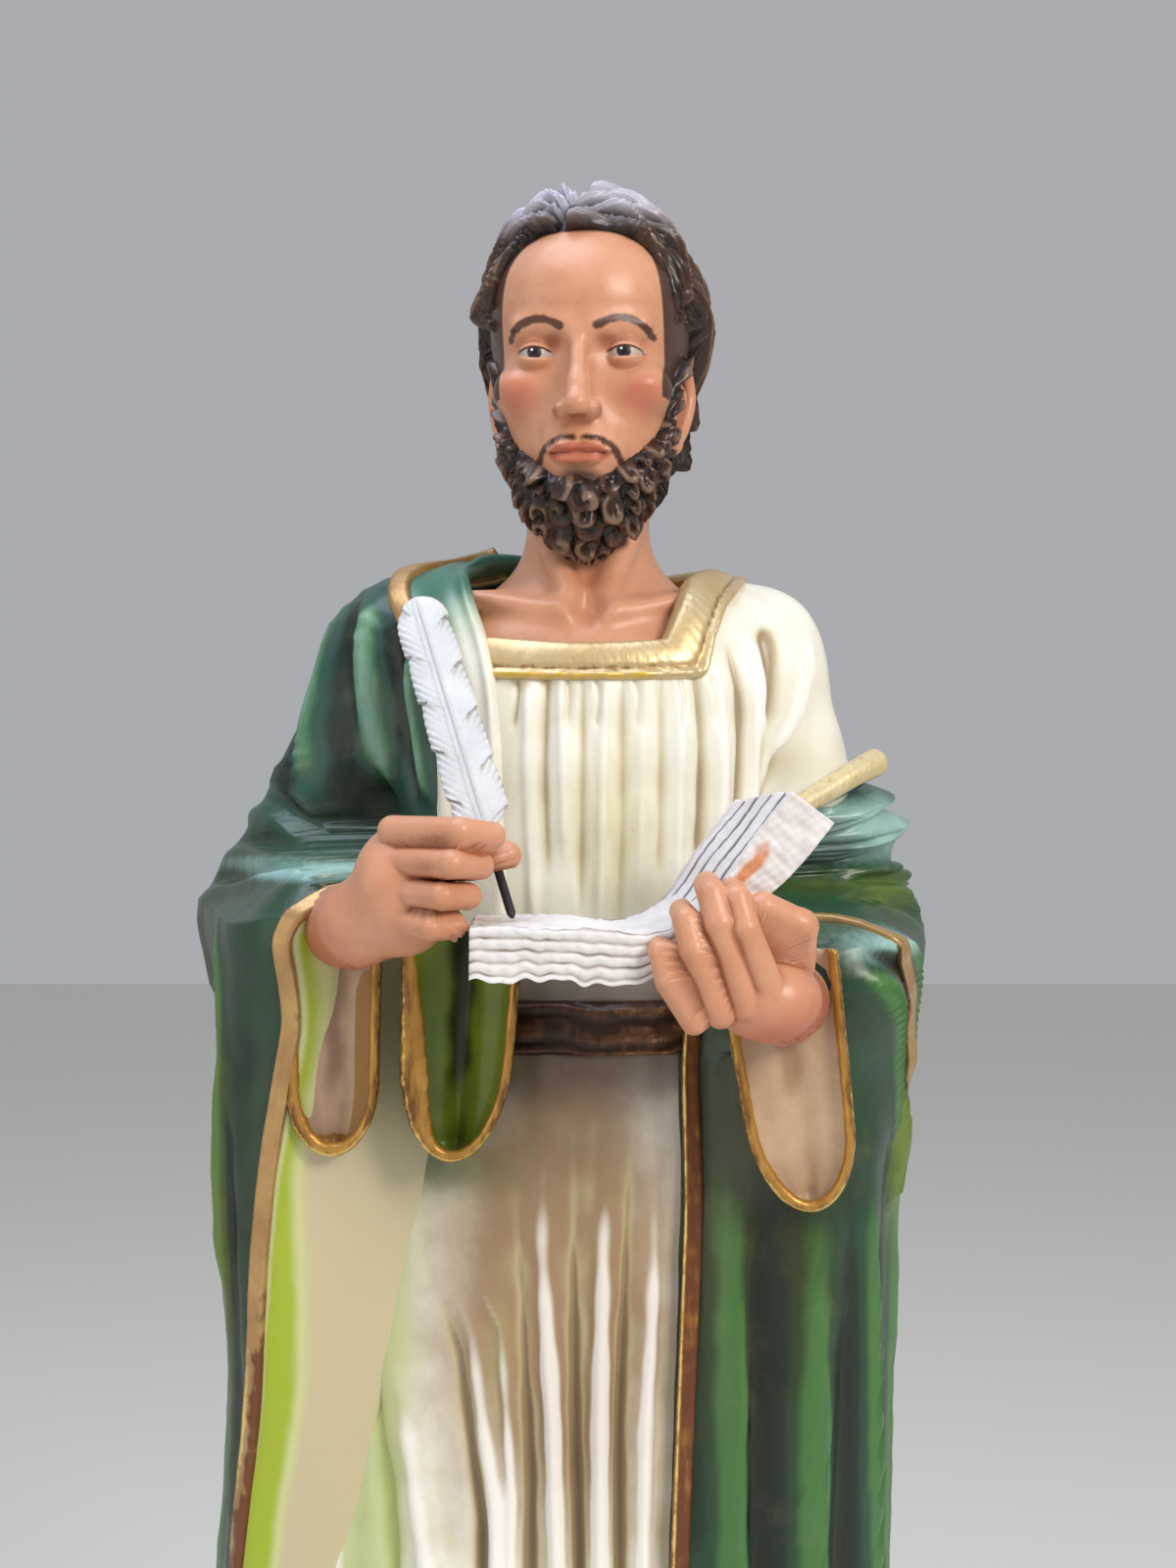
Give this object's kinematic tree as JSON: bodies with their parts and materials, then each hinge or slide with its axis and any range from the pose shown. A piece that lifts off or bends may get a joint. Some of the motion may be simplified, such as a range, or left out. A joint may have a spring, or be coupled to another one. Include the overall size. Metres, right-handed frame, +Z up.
{
  "type": "saint statue",
  "caption": "Standing painted plaster statue of a bearded, robed saint writing in an open book with a quill, on a low base.",
  "frame": {"origin": "middle of the base's flat underside", "axes": "+Z up along the figure, -Y the way the saint faces, +X towards the saint's left hand"},
  "size_m": [0.1951, 0.1789, 0.6106],
  "materials": {
    "painted_plaster": "varnished oil paint on cast plaster: green mantle, cream robe, gilt borders, flesh and brown hair",
    "flesh_paint": "satin flesh-coloured oil paint on cast plaster",
    "white_plaster": "white paint on cast plaster, slightly worn"
  },
  "bodies": {
    "root": {"figure": "painted_plaster", "right_hand": "flesh_paint", "left_hand": "flesh_paint", "book": "white_plaster", "quill": "white_plaster"}
  },
  "joints": []
}
